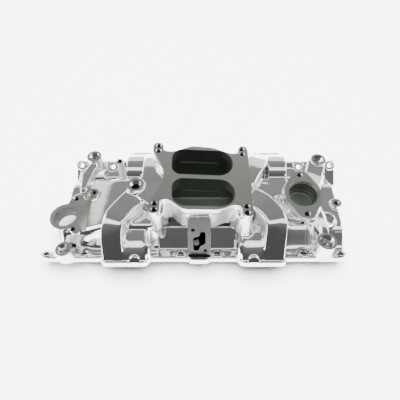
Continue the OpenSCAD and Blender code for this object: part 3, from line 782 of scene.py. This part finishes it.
# %% Openings
def port_openings(bm):
    for n in range(1, 9):
        side = 1 if n % 2 else -1
        x = port_x(n) - side * BANK_OFFSET / 2
        outline = box_corners(x - PORT_W / 2, x + PORT_W / 2, PORT_MID - PORT_H / 2, PORT_MID + PORT_H / 2, 6)
        prism(bm, rounded(outline), -5, FLANGE_T + 2, FLANGE_FRAMES[side])
    for side, place in FLANGE_FRAMES.items():
        h = -side * HEAT_X
        prism(bm, rounded(box_corners(h - 15, h + 15, 15, 33, 5)), -5, 26, place)
        for x in (-211, 211):
            prism(bm, rounded(box_corners(x - 13, x + 13, 13, 31, 6)), -5, 22, place)


cut(skin, CAST, lambda bm: prism(bm, rounded(FAR_BARREL, 12), -32, 20, CARB_FRAME),
    port_openings)
cut(skin, CAST, lambda bm: prism(bm, rounded(NEAR_BARREL, 12), -32, 20, CARB_FRAME),
    lambda bm: turned(bm, THERMO_X, 0, 50, 90, 24.5, 24.5, segments=96))
# The walls of the choke window and the distributor bore get painted shade, the darkness of a deep opening.
cut(skin, PAINTED_SHADE, lambda bm: prism(bm, rounded(WINDOW), -30, 10, CHOKE_FRAME),
    lambda bm: turned(bm, *DIST, 25, 70, 18.5, 18.5, segments=80))
cut(skin, MILLED, lambda bm: turned(bm, THERMO_X, 0, THERMO_Z - 2.5, 90, 27.5, 27.5, segments=96))
print("opened; the skin has", len(skin.data.polygons), "faces")

# %% [markdown]
# ## Holes
# Every round mount in the record becomes a hole of its own radius, depth and direction. The pipe ports get
# real thread grooves: a saw-tooth profile, turned round the hole's axis, with a countersink at the mouth.

# %% Drilled and threaded holes
def axis_frame(mount):
    """A frame at the mouth of a round mount, its Z pointing out."""
    axis = Vector(mount["axis"])
    mouth = Vector(mount["pos_m"]) / MM + axis * mount["dims"]["length_mm"] / 2
    return Matrix.Translation(mouth) @ axis.to_track_quat("Z", "Y").to_matrix().to_4x4()


def threaded(bm, r, depth, place, pitch):
    """A hole with thread grooves, made by turning its profile."""
    profile = [(0, -depth), (r * 0.85, -depth), (r, 1 - depth)]
    z = 1 - depth
    while z < -pitch * 1.5:
        profile += [(r + pitch * 0.45, z + pitch / 2), (r, z + pitch)]
        z += pitch
    profile += [(r + pitch * 0.8, 0), (r + pitch * 0.8, 8), (0, 8)]
    verts = [bm.verts.new((x, 0, z)) for x, z in profile]
    edges = [bm.edges.new(pair) for pair in zip(verts, verts[1:])]
    before = set(bm.verts) - set(verts)
    bmesh.ops.spin(bm, geom=verts + edges, cent=(0, 0, 0), axis=(0, 0, 1), angle=2 * pi,
                   steps=40, use_merge=True)
    made = [v for v in bm.verts if v not in before]
    bmesh.ops.remove_doubles(bm, verts=made, dist=0.01)
    made = [v for v in bm.verts if v not in before]
    bmesh.ops.transform(bm, verts=made, matrix=place)


def round_mounts(threaded_only, least_r, most_r):
    """The frames, radii and depths of the record's round mounts between two radii."""
    for name, mount in mounts.items():
        drilled = mount["kind"] == "bore" and not threaded_only and name != "thermostat_bore"
        if drilled or mount["kind"] == "threaded_hole":
            r = mount["dims"]["r_mm"]
            if least_r <= r <= most_r:
                yield axis_frame(mount), r, mount["dims"]["length_mm"], mount["kind"]
    if least_r < 3.6 < most_r:
        for y in (-41.5, 41.5):
            yield Matrix.Translation((THERMO_X, y, THERMO_Z)), 3.6, 18.0, "threaded_hole"


def chamfers(bm):
    for place, r, _, _ in round_mounts(False, 0, 7):
        rim = 1.3 if r > 3 else 1.0
        turned(bm, 0, 0, -rim, 1, r, r + rim + 1, place, segments=40)


def small_holes(bm):
    for place, r, depth, kind in round_mounts(False, 0, 7):
        if kind == "bore":
            turned(bm, 0, 0, -depth - 4, 8, r, r, place, segments=48)
        else:
            threaded(bm, r, depth, place, 1.3)


def pipe_threads(bm):
    for place, r, depth, _ in round_mounts(True, 7.5, 12):
        threaded(bm, r, depth, place, 1.8)


def tower_skirt(bm):
    turned(bm, *DIST, -5, 26, 22.5, 22.5, segments=80)


cut(skin, POLISHED, chamfers)
# The small holes' walls get painted shade, the darkness that falls inside narrow holes.
cut(skin, PAINTED_SHADE, small_holes, lambda bm: turned(bm, -107, -6, 88, 99, 7, 7))
cut(skin, POLISHED, pipe_threads, tower_skirt)
print("drilled; the skin has", len(skin.data.polygons), "faces")

# %% [markdown]
# ## Floor, light and camera
# Buffed metal shows what surrounds it, so the surroundings are the lighting: a pale floor that runs up into
# white, two broad soft boxes, and a duller ceiling that gives the upward faces their grey.

# %% Studio
CAMERA_AT = Vector((-4.71, -370.0, 575.2)) * MM
CAMERA_DOWN, CAMERA_YAW, CAMERA_ROLL = radians(54.79), radians(0.58), radians(0.48)
LENS = 32.70

camera_data = bpy.data.cameras.new("camera")
camera_data.lens = LENS
camera_data.sensor_width = 36
camera = bpy.data.objects.new("camera", camera_data)
scene.collection.objects.link(camera)
forward = Vector((sin(CAMERA_YAW) * cos(CAMERA_DOWN), cos(CAMERA_YAW) * cos(CAMERA_DOWN), -sin(CAMERA_DOWN)))
turn = forward.to_track_quat("-Z", "Y").to_matrix().to_4x4() @ Matrix.Rotation(CAMERA_ROLL, 4, "Z")
camera.matrix_world = Matrix.Translation(CAMERA_AT) @ turn
scene.camera = camera

floor_bm = bmesh.new()
bmesh.ops.create_grid(floor_bm, x_segments=1, y_segments=1, size=6000)
floor = finished("floor", floor_bm)
floor.data.materials.clear()
paper = bpy.data.materials.new("floor_paper")
paper.use_nodes = True
paper.node_tree.nodes["Principled BSDF"].inputs["Base Color"].default_value = (0.93, 0.93, 0.93, 1)
paper.node_tree.nodes["Principled BSDF"].inputs["Roughness"].default_value = 0.9
floor.data.materials.append(paper)


def sky_ramp(stops):
    """A world whose brightness goes round from the far horizon, over the top, to the near horizon."""
    world = bpy.data.worlds.new("studio")
    scene.world = world
    world.use_nodes = True
    tree = world.node_tree
    place = tree.nodes.new("ShaderNodeTexCoord")
    parts = tree.nodes.new("ShaderNodeSeparateXYZ")
    angle = tree.nodes.new("ShaderNodeMath")
    angle.operation = "ARCTAN2"
    turn = tree.nodes.new("ShaderNodeMapRange")
    turn.inputs["From Min"].default_value = 0.0
    turn.inputs["From Max"].default_value = pi
    ramp = tree.nodes.new("ShaderNodeValToRGB")
    ramp.color_ramp.interpolation = "EASE"
    tree.links.new(place.outputs["Generated"], parts.inputs["Vector"])
    tree.links.new(parts.outputs["Z"], angle.inputs[0])
    tree.links.new(parts.outputs["Y"], angle.inputs[1])
    tree.links.new(angle.outputs["Value"], turn.inputs["Value"])
    tree.links.new(turn.outputs["Result"], ramp.inputs["Fac"])
    tree.links.new(ramp.outputs["Color"], tree.nodes["Background"].inputs["Color"])
    elements = ramp.color_ramp.elements
    while len(elements) < len(stops):
        elements.new(0.5)
    for element, (degrees, level) in zip(elements, stops):
        element.position = degrees / 180
        element.color = (level, level, level * 0.98, 1)


sky_ramp([(0, 1.6), (34, 1.6), (44, 0.32), (90, 0.24), (96, 2.4), (110, 2.4), (117, 0.20), (150, 0.09),
          (180, 0.08)])


def soft_box(name, at, aim, width, height, watts):
    data = bpy.data.lights.new(name, "AREA")
    data.shape = "RECTANGLE"
    data.size, data.size_y, data.energy = width, height, watts
    obj = bpy.data.objects.new(name, data)
    scene.collection.objects.link(obj)
    facing = (Vector(aim) - Vector(at)).to_track_quat("-Z", "Y").to_matrix().to_4x4()
    obj.matrix_world = Matrix.Translation(at) @ facing
    return obj


soft_box("window_left", (-1.6, 0.2, 1.1), (0, 0, 0.05), 0.9, 1.2, 16)
soft_box("window_right", (1.7, 0.3, 1.0), (0, 0, 0.05), 0.8, 1.2, 14)
overhead = soft_box("overhead", (0, 0.3, 3.0), (0, 0, 0), 3.0, 3.0, 800)
overhead.visible_glossy = False
print("lit the studio")

# %% [markdown]
# ## Dividing the casting
# The finished skin is now divided into the regions of the CAD model, as a sectioned teaching model would
# be. Each region is what the skin shares with a plain block, cylinder or duct, and the rest loses the same
# solid, so pieces meet face to face. A boss takes the metal under it along. Small regions go first, and
# what is left at the end is the valley floor.

# %% Tools that divide
def shade(obj):
    """Smooth except where a cutter left an edge sharper than 32 degrees."""
    obj.data.shade_smooth()
    obj.data.set_sharp_from_angle(angle=radians(32))


def piece_of(obj, name, nodes):
    obj.name = name + "_casting"
    shade(obj)
    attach(obj, "root")
    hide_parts(*nodes)
    made.append((name, len(obj.data.polygons)))


def part_off(rest, name, nodes, slot, *draws):
    """Moves what the drawn solids share with the rest into a piece of its own."""
    tool = None
    for draw in draws:
        bm = bmesh.new()
        draw(bm)
        solid = finished("divider", bm, CAST)
        if tool:
            boolean(tool, solid, "UNION")
            bpy.data.objects.remove(solid)
        else:
            tool = solid
    piece = bpy.data.objects.new(name, rest.data.copy())
    scene.collection.objects.link(piece)
    boolean(piece, tool, "INTERSECT")
    boolean(rest, tool, "DIFFERENCE")
    bpy.data.objects.remove(tool)
    piece_of(piece, name, nodes)


def runner_region(bm, n):
    inner = (20.8, 19.0) if n in (2, 8) else (19.4, 18.6)
    loft(bm, duct_rings(runner_curve(n), (17.9, 30.0), inner, 3.0, t0=-0.05))


made = []
ACROSS = (-120, 120)
print("ready to divide")

# %% Flanges, choke pad and bosses
for side, bank, ports in ((1, "driver", (1, 3, 5, 7)), (-1, "passenger", (2, 4, 6, 8))):
    nodes = [n for n in frame["nodes"] if n.startswith(bank + "_flange_")]
    nodes += [f"port_frame_{n}" for n in ports]
    part_off(skin, bank + "_head_flange", nodes + ["flange_bolt_bosses"], "polished_casting",
             lambda bm: block(bm, -300, 300, -20, 90, -30, FLANGE_T, FLANGE_FRAMES[side]))
part_off(skin, "carburettor_flange",
         ["carb_flange_driver", "carb_flange_passenger", "carb_stud_ears"], "machined_face",
         lambda bm: block(bm, -95, 95, -85, 85, -CARB_PLATE, 5, CARB_FRAME))
part_off(skin, "choke_pad", ["choke_stove_pad"], "machined_face",
         lambda bm: block(bm, -19, 19, -43, 41, -40, 5, CHOKE_FRAME))
for name, node, floor_z, r in (
        ("vacuum_port", "vacuum_port_boss", 96, 18),
        ("rear_driver_water_port", "rear_driver_water_boss", 10, 17.5),
        ("rear_passenger_water_port", "rear_passenger_water_boss", 10, 17),
        ("temperature_sender_port", "temperature_sender_boss", 10, 17.5),
        ("heater_outlet_port", "heater_outlet_boss", 10, 19),
        ("throttle_bracket_hole", "throttle_bracket_post", 10, 10.5),
        ("coil_bracket_hole", "coil_bracket_boss", 40, 14),
        ("front_bracket_hole", "front_bracket_boss", 40, 12.5)):
    x, y, _ = mount_at(name)
    part_off(skin, node, [node], "polished_casting", lambda bm: turned(bm, x, y, floor_z, 110, r, r))
part_off(skin, "bypass_blank_boss", ["bypass_blank_boss"], "polished_casting",
         lambda bm: turned(bm, 217, -39, 42, 70, 16.5, 16.5))
print("flanges and bosses:", made)

# %% Thermostat, distributor and coolant passages
part_off(skin, "thermostat_housing", ["thermostat_housing", "thermostat_flange"], "machined_face",
         lambda bm: turned(bm, THERMO_X, 0, 30, 90, 36, 36, segments=96),
         lambda bm: block(bm, THERMO_X - 13, THERMO_X + 13, -53, 53, 55, 80))
part_off(skin, "distributor_tower", ["distributor_tower"], "machined_face",
         lambda bm: turned(bm, *DIST, -10, 80, 29, 29, segments=96),
         lambda bm: block(bm, -240, -194, -76, 20, 43, 60))
part_off(skin, "coolant_arm_driver", ["coolant_arm_driver"], "polished_casting",
         lambda bm: block(bm, 180, 236, 8, 96, 0, 90))
part_off(skin, "coolant_arm_passenger", ["coolant_arm_passenger"], "polished_casting",
         lambda bm: block(bm, 176, 222, -120, -34, 0, 90))
part_off(skin, "rear_rib", ["rear_rib"], "polished_casting", lambda bm: block(bm, -218, -190, 20, 76, 44, 70))
print("ends:", made[-5:])

# %% Runners
for n in (3, 5, 2, 8, 1, 7, 4, 6):
    part_off(skin, f"runner_{n}", [f"runner_{n}"], "polished_casting", lambda bm: runner_region(bm, n))
print("runners:", made[-8:])

# %% Decks, rails, plenum and valley
part_off(skin, "rear_end_rail", ["rear_end_rail"], "polished_casting",
         lambda bm: block(bm, -260, -225, *ACROSS, -10, 40))
part_off(skin, "rear_deck", ["rear_deck"], "polished_casting",
         lambda bm: block(bm, -260, -88, *ACROSS, -10, 120))
part_off(skin, "front_end_rail", ["front_end_rail"], "polished_casting",
         lambda bm: block(bm, 228, 260, *ACROSS, -10, 42))
part_off(skin, "front_deck", ["front_deck"], "polished_casting",
         lambda bm: block(bm, 88, 260, *ACROSS, -10, 120))
part_off(skin, "plenum_upper", ["plenum_upper", "carb_ear_columns"], "polished_casting",
         lambda bm: block(bm, -120, 120, -120, 4, 56, 130))
part_off(skin, "plenum_lower",
         ["plenum_lower", "plenum_divider", "lower_fork_rear", "lower_fork_front"], "cast_interior",
         lambda bm: block(bm, -120, 120, 4, 120, 0, 130))
piece_of(skin, "valley_floor", ["valley_floor", "heat_crossover"])
counts = [count for _, count in made]
print(len(made), "pieces with", sum(counts), "faces; the largest has", max(counts))
